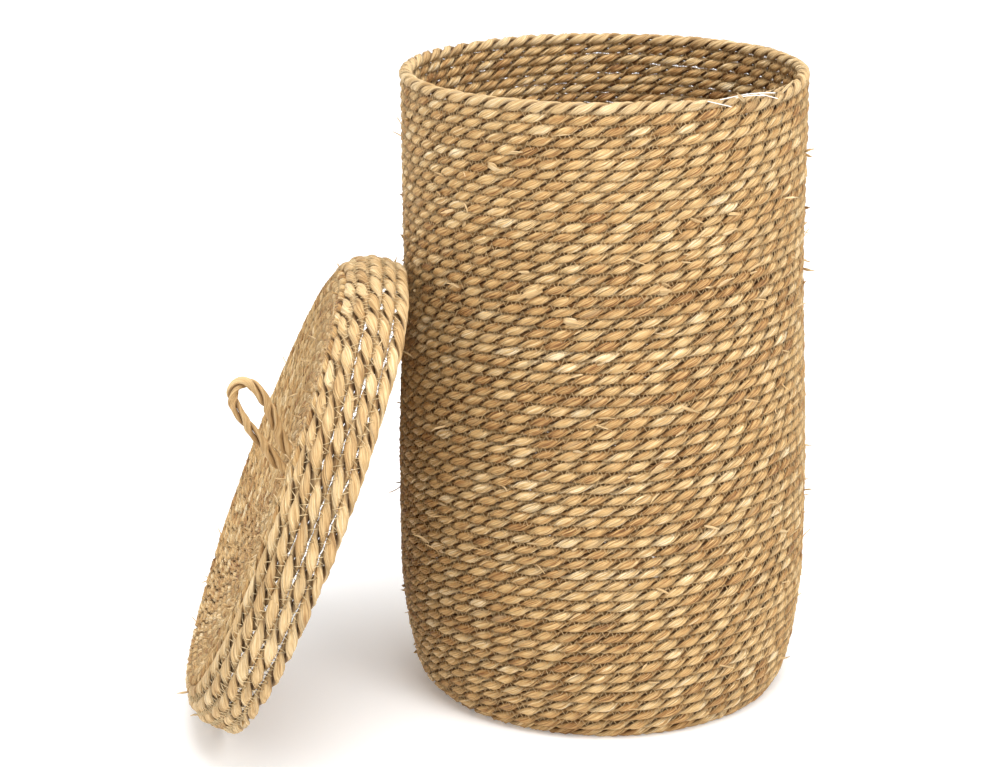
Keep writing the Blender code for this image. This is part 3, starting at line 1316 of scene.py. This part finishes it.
    def _ends(self, finish: "Finishes") -> None:
        """Scatters torn leaf ends over the wall and the rim.

        Args:
            finish: every finish.
        """
        rng = np.random.default_rng(12)
        spots = list(self.torn)
        for _ in range(260):
            spots.append(tuple(rng.uniform(low, high) for low, high in self.random_torn))
        for degrees in (-70.0, -52.0, -36.0, 118.0):
            length, width = rng.uniform(0.012, 0.018), rng.uniform(0.0016, 0.0028)
            spots.append((degrees, self.top - 0.006, length, width, 0.3))
        ends = []
        for number, (degrees, height, length, width, curl) in enumerate(spots):
            angle = math.radians(degrees)
            out = Vector((math.cos(angle), math.sin(angle), 0.0))
            radius = float(self.outer(np.array([height]))[0]) - 0.0010
            along = Vector((-math.sin(angle), math.cos(angle), 0.0)) * (1.0 if number % 3 else -1.0)
            along = along + Vector((0.0, 0.0, rng.uniform(-0.5, 0.9))) + out * 0.10
            root = out * radius + Vector((0.0, 0.0, height))
            leaf = LeafEnd(length, width, curl, rng.uniform(-0.8, 0.8), number + 1)
            ends.append((leaf, root, along, out))
        mesh = leaf_piece("wall_leaf_ends", ends)
        place_piece("wall_leaf_ends", mesh, finish.thick, Body.BASKET, Slot.COIL)
        self._loose_thread(finish)

    def _loose_thread(self, finish: "Finishes") -> None:
        """Lays a pale thread slack over the rim where its rope ends.

        Args:
            finish: every finish.
        """
        shape = bmesh.new()
        for number, (low, high, arch) in enumerate(self.slack):
            self._strand(shape, number, (math.radians(low), math.radians(high)), arch)
        bmesh.ops.recalc_face_normals(shape, faces=shape.faces)
        mesh = to_mesh("rim_loose_thread", shape)
        set_fact(mesh, "fibre", mesh_points(mesh))
        set_fact(mesh, "leaf", np.ones(len(mesh.vertices)))
        place_piece("rim_loose_thread", mesh, finish.white_thread, Body.BASKET, Slot.COIL)

    def _strand(self, shape: bmesh.types.BMesh, number: int, ends: tuple[float, float], arch: float) -> None:
        """Adds one strand of slack thread.

        Args:
            shape: the shape to add to.
            number: which strand it is.
            ends: its first and last angle.
            arch: how far it rises in the middle, or falls at its end.
        """
        steps, sides, thickness = 24, 4, 0.0004
        first, last = ends
        previous: list = []
        for step in range(steps + 1):
            share = step / steps
            angle = first + (last - first) * share
            bow = math.sin(math.pi * share)
            radius = self.rim_radius + 0.0006 - 0.0026 * (1.0 - share) + 0.0003 * number
            height = self.top - 0.0022 + arch * (bow if arch > 0.0 else share) - 0.0016 * share
            out = Vector((math.cos(angle), math.sin(angle), 0.0))
            centre = out * radius + Vector((0.0, 0.0, height))
            ring = []
            for side in range(sides):
                turn = 2.0 * math.pi * side / sides
                spoke = out * math.cos(turn) + Vector((0.0, 0.0, math.sin(turn)))
                ring.append(shape.verts.new(centre + spoke * thickness))
            for side in range(sides):
                if previous:
                    shape.faces.new((previous[side - 1], previous[side], ring[side], ring[side - 1]))
            if step in (0, steps):
                shape.faces.new(ring)
            previous = ring


# --------------------------------------------------------------------------
# The lid
# --------------------------------------------------------------------------


@dataclass
class Lid:
    """The lid: a dished top coil, a skirt of thick rope over its shoulder, and their stitching.

    Attributes:
        radius: outer radius.
        depth: from its open edge to its face.
        shoulder: radius of the rounding between skirt and face.
        dish: how far the middle of the face sinks.
        top_row: distance between the face's rows.
        top_inset: from the lid's surface to the face rope's centre.
        top_inner: share of the face's rope in its inner length.
        skirt_rows: rows of thick rope.
        skirt_pitch: distance between them.
        skirt_rope: their rope's radius.
        skirt_inset: from the lid's surface to the thick rope's centre.
        skirt_start: from the open edge to the first row's centre.
        skirt_spread: how far the rows stand wider on the low side.
        seam: angle where the two ropes meet.
        edge_row: thickness of the open edge's row in the plain solids.
        lean: how far the lid is tipped from level.
        turned: how far the leaning lid is turned.
        handle_off: distance of the handle from the middle.
        matrix: where the lid lies, read from the frame.
    """

    radius: float = 0.2138
    depth: float = 0.0548
    shoulder: float = 0.033
    dish: float = 0.016
    top_row: float = 0.0088
    top_inset: float = 0.0044
    top_inner: float = 0.27
    skirt_rows: int = 5
    skirt_pitch: float = 0.0107
    skirt_rope: float = 0.0058
    skirt_inset: float = 0.0052
    skirt_start: float = 0.0051
    skirt_spread: float = 0.0055
    seam: float = math.radians(120.0)
    edge_row: float = 0.0099
    lean: float = math.radians(67.5)
    turned: float = math.radians(4.2)
    handle_off: float = 0.019
    matrix: Matrix = field(default_factory=Matrix)

    def place(self) -> None:
        """Reads where the frame's lid lies from the box of its first skirt rope's solid, at the given lean
        and turn.
        """
        rotation = Matrix.Rotation(self.turned, 4, "Z") @ Matrix.Rotation(-self.lean, 4, "Y")
        low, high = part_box("lid_skirt_rope_1")
        middle = (Vector(low) + Vector(high)) * 0.5
        centre_height = -self.depth + 0.5 * self.edge_row
        centre = middle - rotation.to_3x3() @ Vector((0.0, 0.0, centre_height))
        self.matrix = Matrix.Translation(centre) @ rotation

    def face_height(self, radius: float) -> float:
        """Height of the dished face at a radius."""
        return self.dish * ((radius / (self.radius - self.shoulder)) ** 2 - 1.0)

    def profile(self, distance: Array, inset: float) -> tuple[Array, Array]:
        """The profile of a rope's centre, from the open edge over the shoulder to the middle.

        Args:
            distance: distances along the profile.
            inset: from the lid's surface to the rope's centre.

        Returns:
            Radii and heights.
        """
        bend = self.shoulder - inset
        straight = self.depth - self.shoulder
        quarter = 0.5 * np.pi * bend
        flat = self.radius - self.shoulder
        slope = np.clip((distance - straight) / bend, 0.0, 0.5 * np.pi)
        over = np.maximum(distance - straight - quarter, 0.0)
        radius = flat + bend * np.cos(slope) - over
        rounded = bend * np.sin(slope) - self.shoulder
        height = np.where(distance < straight, distance - self.depth, rounded)
        share = np.clip(radius / flat, 0.0, 1.0)
        sunk = np.where(over > 0.0, self.dish * (share * share - 1.0), 0.0)
        return radius, height + sunk

    def build(self, finish: "Finishes") -> None:
        """Builds every piece of the lid.

        Args:
            finish: every finish.
        """
        self.place()
        self._skirt(finish)
        self._top(finish)
        Knot(self).build(finish)
        self._ends(finish)

    def _skirt(self, finish: "Finishes") -> None:

        """Winds and sews the skirt.

        Args:
            finish: every finish.
        """
        def at(turn: Array) -> Array:
            """Distance from the open edge, the rows spread on the low side.

            Args:
                turn: turns along the skirt.

            Returns:
                A distance for each turn.
            """
            angle = 2.0 * np.pi * turn + self.seam
            spread = self.skirt_spread * smooth_step(-np.sin(angle) / 0.6)
            even = self.skirt_start - self.skirt_pitch * turn
            return even - spread * np.clip(1.0 + turn / 5.6, 0.0, 1.1)

        def thin(distance: Array) -> Array:
            """Thickness of the open edge's row, which tapers at its end."""
            return 0.45 + 0.55 * smooth_step((coil.length - distance) / 0.09)

        coil = Coil(
            lambda turn: self.profile(at(turn), self.skirt_inset)[0],
            lambda turn: self.profile(at(turn), self.skirt_inset)[1],
            (-self.skirt_rows - 0.05, 0.02),
            self.seam,
            self.matrix,
            wobble=0.0006,
            seed=51,
        )
        spec = RopeSpec(self.skirt_rope, 0.056, steps=20, sides=10, flat=0.84, dwell=0.20, seed=61)
        rope = Rope(spec)
        for row in range(self.skirt_rows):
            first, last = coil.distance_at(-row - 1.0), coil.distance_at(float(-row))
            name = f"lid_skirt_rope_{row + 1}"
            stock = rope.cut(name, first, last - first)
            mesh = lay(stock, coil.at, None if row else thin)
            place_piece(name + "_woven", mesh, finish.thick, Body.LID, Slot.THICK, [name])
        sewing = StitchSpec(0.00040, 0.0100, reach=0.0049, lift=0.0056, sag=0.0006, seed=8)
        for number, side in enumerate((1.0, -1.0)):
            name = f"lid_skirt_stitching_{number + 1}"
            mesh = Stitching(sewing).sew(name, coil, (0.02 - self.skirt_rows, -1.02), side)
            place_piece(name, mesh, finish.pale_thread, Body.LID, Slot.THICK)

    def _top(self, finish: "Finishes") -> None:
        """Winds and sews the face.

        Args:
            finish: every finish.
        """
        start = self.skirt_start + self.skirt_pitch * self.skirt_rows
        rounding = 0.5 * np.pi * (self.shoulder - self.top_inset)
        whole = self.depth - self.shoulder + rounding + self.radius - self.shoulder
        turns = (whole - start) / self.top_row

        def at(turn: Array) -> Array:
            """Distance from the open edge."""
            return whole - self.top_row * np.maximum(turn, 0.0)

        coil = Coil(
            lambda turn: np.maximum(self.profile(at(turn), self.top_inset)[0], 0.0),
            lambda turn: self.profile(at(turn), self.top_inset)[1],
            (0.15, turns),
            self.seam - 2.0 * math.pi * turns,
            self.matrix,
            wobble=0.0004,
            seed=71,
        )
        rope = Rope(RopeSpec(radius=0.0049, twist=0.034, flat=0.88, seed=81))
        total = coil.length
        middle = total * self.top_inner
        for name, first, last in (("lid_top_rope_inner", 0.0, middle), ("lid_top_rope_outer", middle, total)):
            stock = rope.cut(name, first, last - first)
            mesh = lay(stock, coil.at)
            place_piece(name + "_woven", mesh, finish.coil, Body.LID, Slot.COIL, [name])
        sewing = StitchSpec(0.00034, 0.0066, reach=0.0034, lift=0.0046, sag=0.0010, seed=9)
        mesh = Stitching(sewing).sew("lid_top_stitching", coil, (1.5, turns - 1.0), -1.0)
        place_piece("lid_top_stitching", mesh, finish.thread, Body.LID, Slot.COIL)

    def _ends(self, finish: "Finishes") -> None:
        """Scatters torn leaf ends over the lid.

        Args:
            finish: every finish.
        """
        rng = np.random.default_rng(31)
        ends = []
        turn = np.array(self.matrix.to_3x3())
        for number in range(110):
            angle = rng.uniform(0.0, 2.0 * math.pi)
            travel = rng.uniform(0.004, 0.20)
            radius, height = self.profile(np.array([travel]), 0.0006)
            low, up = self.profile(np.array([travel + 0.001]), 0.0006)
            rise = np.array([float(low[0] - radius[0]), float(up[0] - height[0])])
            rise /= np.linalg.norm(rise)
            radial = np.array([math.cos(angle), math.sin(angle), 0.0])
            out = radial * rise[1] - np.array([0.0, 0.0, rise[0]])
            point = radial * radius[0] + np.array([0.0, 0.0, height[0]])
            around = np.array([-math.sin(angle), math.cos(angle), 0.0]) * rng.choice([-1.0, 1.0])
            around = around + rng.normal(0.0, 0.4, 3) + out * 0.15
            world = self.matrix @ Vector(point)
            length, width = rng.uniform(0.005, 0.013), rng.uniform(0.0006, 0.0022)
            leaf = LeafEnd(length, width, rng.uniform(0.3, 1.4), 0.4, number + 300)
            ends.append((leaf, world, Vector(turn @ around), Vector(turn @ out)))
        mesh = leaf_piece("lid_leaf_ends", ends)
        place_piece("lid_leaf_ends", mesh, finish.thick, Body.LID, Slot.COIL)


# --------------------------------------------------------------------------
# The handle
# --------------------------------------------------------------------------


@dataclass
class Handle:
    """The loop of two twisted leaf strands.

    Attributes:
        lid: the lid it stands on.
        radius: the loop rope's radius.
        spacing: distance between its feet.
        bulge: how much further apart its sides stand at the widest, each side.
        length: how far it reaches from the lid.
        lean: how far it hangs over.
        twist: length of one full turn of its strands.
        sunk: how far its feet run into the lid.
    """

    lid: Lid
    radius: float = 0.0049
    spacing: float = 0.0150
    bulge: float = 0.0200
    length: float = 0.0835
    lean: float = math.radians(39.5)
    twist: float = 0.054
    sunk: float = 0.006

    def foot(self) -> Vector:
        """The middle between the handle's feet, on the lid's face, in the lid's frame."""
        return Vector((self.lid.handle_off, 0.0, self.lid.face_height(self.lid.handle_off)))

    def centre_line(self, share: Array) -> Array:
        """The loop's centre line, starting and ending under the face.

        Args:
            share: 0 at one foot, 1 at the other.

        Returns:
            Points in the lid's frame.
        """
        angle = math.pi * share
        rise = np.sin(angle)
        side = np.cos(angle) * (0.5 * self.spacing + self.bulge * rise**2)
        lean = self.lean * (1.0 - (1.0 - np.clip(rise, 0.0, 1.0)) ** 2)
        x = side * np.cos(lean) + self.length * rise * math.sin(self.lean)
        z = -side * np.sin(lean) + self.length * rise * math.cos(self.lean)
        foot = self.foot()
        sunk = self.sunk * (1.0 - smooth_step(rise / 0.12))
        return np.stack([x + foot.x, np.zeros_like(x), z + foot.z - sunk], axis=1)

    def path(self, distance: Array) -> PathPoint:
        """The loop as a path in the world.

        Args:
            distance: distances along the loop.

        Returns:
            Points and their two directions.
        """
        share = np.interp(distance, self.travelled, self.shares)
        step = 0.003
        here = self.centre_line(share)
        along = unit(self.centre_line(share + step) - self.centre_line(share - step))
        flat = np.broadcast_to([0.0, 1.0, 0.0], along.shape)
        return carry(self.lid.matrix, here, unit(np.cross(flat, along)), flat)

    def build(self, finish: "Finishes") -> None:
        """Builds the loop.

        Args:
            finish: every finish.
        """
        self.shares = np.linspace(0.0, 1.0, 2001)
        step = np.diff(self.centre_line(self.shares), axis=0)
        self.travelled = np.concatenate([[0.0], np.cumsum(np.linalg.norm(step, axis=1))])
        rope = Rope(RopeSpec(self.radius, self.twist, steps=28, sides=16, flat=0.82, seed=91))
        stock = rope.cut("handle_loop", 0.0, float(self.travelled[-1]))
        mesh = lay(stock, self.path)
        self._join("handle_loop_woven", mesh, finish)

    def _join(self, name: str, mesh: bpy.types.Mesh, finish: "Finishes") -> None:
        """Links the loop into the scene and bakes it in place.

        Args:
            name: the piece's name.
            mesh: the laid loop.
            finish: every finish.
        """
        foot = self.lid.matrix @ self.foot()
        mesh.materials.append(finish.handle)
        mesh.shade_smooth()
        piece = add_object(name, mesh)
        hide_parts("handle_strand_a", "handle_strand_b")
        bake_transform(piece)
        LOG.info("%s: %d faces, bends between lid and handle", name, len(mesh.polygons))


@dataclass
class Knot:
    """The knot under the lid that holds the handle: a short closed coil of the same strand.

    Attributes:
        lid: the lid it sits in.
        radius: the strand's radius.
        twist: length of one full turn of its plies.
        length: how much strand it takes.
        ring: radius of its turns.
        sway: how far the turns wander in and out.
        wave: how far they wander up and down.
        drop: distance of its middle under the face's rope.
    """

    lid: Lid
    radius: float = 0.0040
    twist: float = 0.030
    length: float = 0.125
    ring: float = 0.0085
    sway: float = 0.0020
    wave: float = 0.0022
    drop: float = 0.0052

    def path(self, distance: Array) -> PathPoint:
        """The knot as a path in the world.

        Args:
            distance: distances along the strand.

        Returns:
            Points and their two directions.
        """
        angle = distance / 0.0105 + 0.4
        radius = self.ring + self.sway * np.cos(1.5 * angle)
        height = self.lid.face_height(self.lid.handle_off) - self.lid.top_row - self.drop
        radial = np.stack([np.cos(angle), np.sin(angle), np.zeros_like(angle)], axis=1)
        point = radial * radius[:, None] + np.array([self.lid.handle_off, 0.0, height])
        point[:, 2] += self.wave * np.sin(1.5 * angle)
        up = np.broadcast_to([0.0, 0.0, 1.0], radial.shape)
        return carry(self.lid.matrix, point, radial, up)

    def build(self, finish: "Finishes") -> None:
        """Builds the knot.

        Args:
            finish: every finish.
        """
        rope = Rope(RopeSpec(self.radius, self.twist, steps=18, sides=10, seed=95))
        mesh = lay(rope.cut("handle_knot", 0.0, self.length), self.path)
        place_piece("handle_knot_woven", mesh, finish.base, Body.LID, Slot.BASE, ["handle_knot"])


# --------------------------------------------------------------------------
# Finishes, studio, camera
# --------------------------------------------------------------------------


class Finishes:
    """Every finish used."""

    def __init__(self) -> None:
        """Makes every finish."""
        self.coil = LeafFinish("leaf_coil_woven").build()
        self.thick = LeafFinish(
            "leaf_thick_woven",
            stops=(
                (0.00, (0.330, 0.175, 0.065)),
                (0.20, (0.480, 0.285, 0.115)),
                (0.48, (0.640, 0.425, 0.195)),
                (0.75, (0.760, 0.545, 0.285)),
                (1.00, (0.880, 0.690, 0.420)),
            ),
        ).build()
        self.handle = LeafFinish(
            "leaf_handle_woven",
            stops=(
                (0.00, (0.340, 0.180, 0.070)),
                (0.20, (0.520, 0.315, 0.130)),
                (0.48, (0.660, 0.440, 0.205)),
                (0.75, (0.745, 0.525, 0.265)),
                (1.00, (0.840, 0.640, 0.370)),
            ),
            # The handle's painted groove and crease shade, lighter than on the other ropes.
            groove=(0.300, 0.170, 0.070),
            relief=0.6,
        ).build()
        self.base = LeafFinish("leaf_base_woven").build()
        self.thread = ThreadFinish().build()
        self.white_thread = ThreadFinish("white_thread", (0.95, 0.93, 0.88)).build()
        self.pale_thread = ThreadFinish("pale_thread", (0.88, 0.68, 0.38)).build()
        self.studio = StudioFinish().build()


@dataclass(frozen=True)
class Lamp:
    """A round soft light.

    Attributes:
        name: the lamp's name.
        place: where it stands.
        aim: the point it faces.
        size: its diameter.
        power: in watts.
    """

    name: str
    place: tuple
    aim: tuple
    size: float
    power: float

    def build(self) -> None:
        """Makes the lamp."""
        light = bpy.data.lights.new(self.name, "AREA")
        light.shape = "DISK"
        light.size = self.size
        light.energy = self.power
        lamp = add_object(self.name, light)
        lamp.location = self.place
        toward = Vector(self.aim) - Vector(self.place)
        lamp.rotation_euler = toward.to_track_quat("-Z", "Y").to_euler()


@dataclass
class Studio:
    """Floor, light and camera.

    Attributes:
        floor_half: half the floor's side.
        floor_height: just under the basket, so that nothing flickers.
        lamps: the lights.
        lens: focal length in millimetres.
        camera_place: where the camera stands.
        pitch: how far it looks down.
        roll: how far it is turned about its view.
    """

    floor_half: float = 8.0
    floor_height: float = -0.0002
    lamps: tuple = (
        Lamp("key", (1.7, -2.2, 2.6), (0.0, 0.0, 0.25), 1.3, 31.0),
        Lamp("fill", (-2.6, -1.8, 1.6), (-0.1, 0.0, 0.25), 2.2, 2.0),
        Lamp("top", (0.1, -0.9, 2.8), (0.0, 0.10, 0.4), 1.8, 60.0),
    )
    lens: float = 88.7
    camera_place: tuple = (-0.0912, -2.1, 0.923)
    pitch: float = math.radians(17.25)
    roll: float = math.radians(-0.37)

    def build(self, finish: Finishes) -> None:
        """Sets the studio up.

        Args:
            finish: every finish.
        """
        self._floor(finish)
        self._world()
        for lamp in self.lamps:
            lamp.build()
        self._camera()
        LOG.info("studio: floor, %d lamps and camera", len(self.lamps))

    def _floor(self, finish: Finishes) -> None:
        """Lays the floor.

        Args:
            finish: every finish.
        """
        shape = bmesh.new()
        bmesh.ops.create_grid(shape, x_segments=1, y_segments=1, size=self.floor_half)
        mesh = to_mesh("floor", shape)
        mesh.materials.append(finish.studio)
        floor = add_object("floor", mesh)
        floor.location = (0.0, 0.0, self.floor_height)

    def _world(self) -> None:
        """Lights the scene evenly from all round."""
        world = bpy.data.worlds.new("studio")
        world.use_nodes = True
        background = world.node_tree.nodes["Background"]
        background.inputs["Color"].default_value = (1.0, 1.0, 1.0, 1.0)
        background.inputs["Strength"].default_value = 1.0
        bpy.context.scene.world = world
        bpy.context.scene.view_settings.view_transform = "Standard"

    def _camera(self) -> None:
        """Stands the camera in front of the basket."""
        lens = bpy.data.cameras.new("camera")
        lens.sensor_width = 36.0
        lens.lens = self.lens
        camera = add_object("camera", lens)
        tip = Matrix.Rotation(math.radians(90.0) - self.pitch, 4, "X")
        roll = Matrix.Rotation(self.roll, 4, "Z")
        camera.matrix_world = Matrix.Translation(self.camera_place) @ tip @ roll
        bpy.context.scene.camera = camera


def main() -> None:
    """Builds the basket, its lid, the handle and the studio."""
    finish = Finishes()
    Basket().build(finish)
    lid = Lid()
    lid.build(finish)
    Handle(lid).build(finish)
    Studio().build(finish)


if __name__ == "__main__":
    main()
